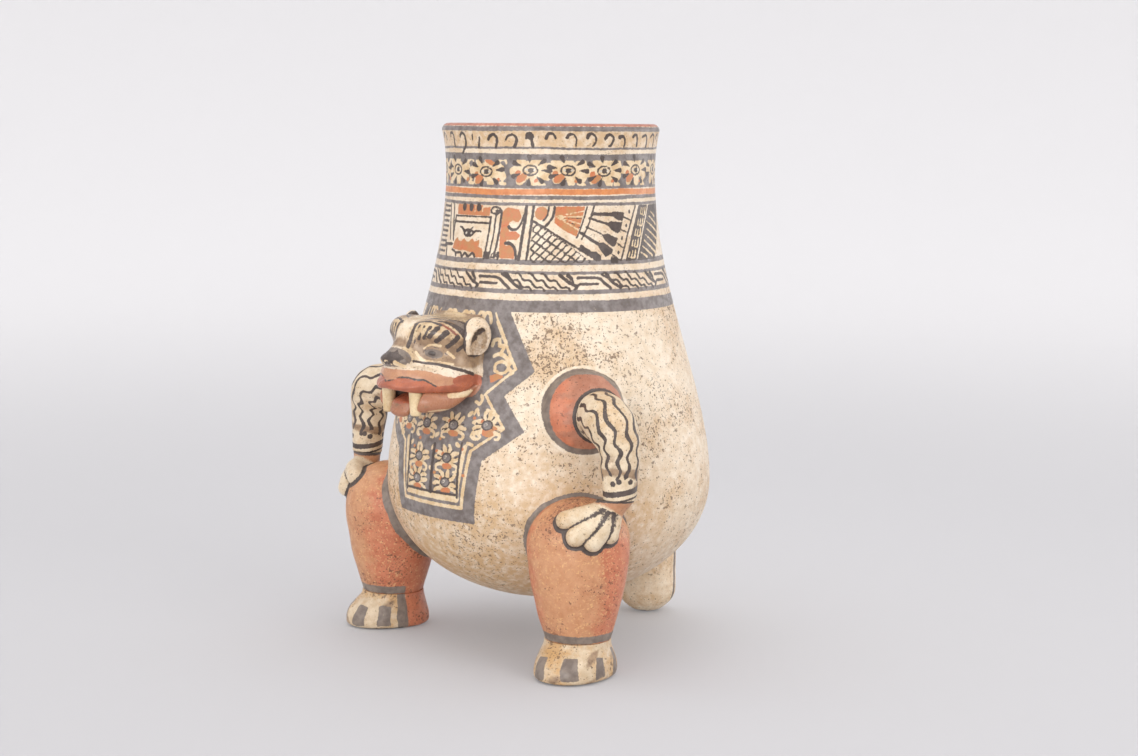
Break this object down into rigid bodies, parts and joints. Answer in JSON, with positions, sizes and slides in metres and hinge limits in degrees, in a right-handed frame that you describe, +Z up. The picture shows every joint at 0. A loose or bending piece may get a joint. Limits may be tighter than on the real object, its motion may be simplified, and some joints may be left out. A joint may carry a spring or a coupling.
{
  "type": "feline effigy tripod vessel",
  "caption": "Pear-shaped clay vessel on hollow rattle legs, with a spotted cat's head and arms on its front wall, to stand on a surface and hold food or drink.",
  "frame": {"origin": "centre of the whole pot's outline on the floor, level with the three soles", "axes": "+Z up along the vessel; the cat faces -Y; its left side is +X"},
  "size_m": [0.2616, 0.247, 0.33],
  "materials": {
    "body_slip": "burnished cream slip with brown speckle, painted bib",
    "neck_painting": "burnished cream slip with dark and orange painted bands",
    "face_slip": "burnished cream and dark slip",
    "red_slip": "burnished orange-red slip",
    "limb_slip": "cream slip with dark wavy lines",
    "foot_slip": "cream slip with dark toe marks",
    "bare_clay": "rough unslipped clay"
  },
  "bodies": {
    "pot": {"belly_bowl": "body_slip", "neck": "neck_painting", "head": "face_slip", "lower_jaw": "red_slip", "fang_left": "face_slip", "fang_right": "face_slip", "ear_left": "face_slip", "ear_right": "face_slip", "shoulder_left": "red_slip", "shoulder_right": "red_slip", "arm_left": "limb_slip", "arm_right": "limb_slip", "hand_left": "limb_slip", "hand_right": "limb_slip", "front_leg_left": "red_slip", "front_leg_right": "red_slip", "foot_left": "foot_slip", "foot_right": "foot_slip", "tail_leg": "body_slip"},
    "pellet_left_1": {"rattle_pellet_left_1": "bare_clay"},
    "pellet_left_2": {"rattle_pellet_left_2": "bare_clay"},
    "pellet_right_1": {"rattle_pellet_right_1": "bare_clay"},
    "pellet_right_2": {"rattle_pellet_right_2": "bare_clay"},
    "pellet_tail_1": {"rattle_pellet_tail_1": "bare_clay"},
    "pellet_tail_2": {"rattle_pellet_tail_2": "bare_clay"}
  },
  "joints": [
    {"name": "rattle_left_1", "type": "slide", "parent": "pot", "child": "pellet_left_1", "axis": [0, 0, 1], "range_m": [0, 0.067]},
    {"name": "rattle_left_2", "type": "slide", "parent": "pot", "child": "pellet_left_2", "axis": [0, 0, 1], "range_m": [0, 0.067]},
    {"name": "rattle_right_1", "type": "slide", "parent": "pot", "child": "pellet_right_1", "axis": [0, 0, 1], "range_m": [0, 0.067]},
    {"name": "rattle_right_2", "type": "slide", "parent": "pot", "child": "pellet_right_2", "axis": [0, 0, 1], "range_m": [0, 0.067]},
    {"name": "rattle_tail_1", "type": "slide", "parent": "pot", "child": "pellet_tail_1", "axis": [0, 0, 1], "range_m": [0, 0.049]},
    {"name": "rattle_tail_2", "type": "slide", "parent": "pot", "child": "pellet_tail_2", "axis": [0, 0, 1], "range_m": [0, 0.049]}
  ]
}
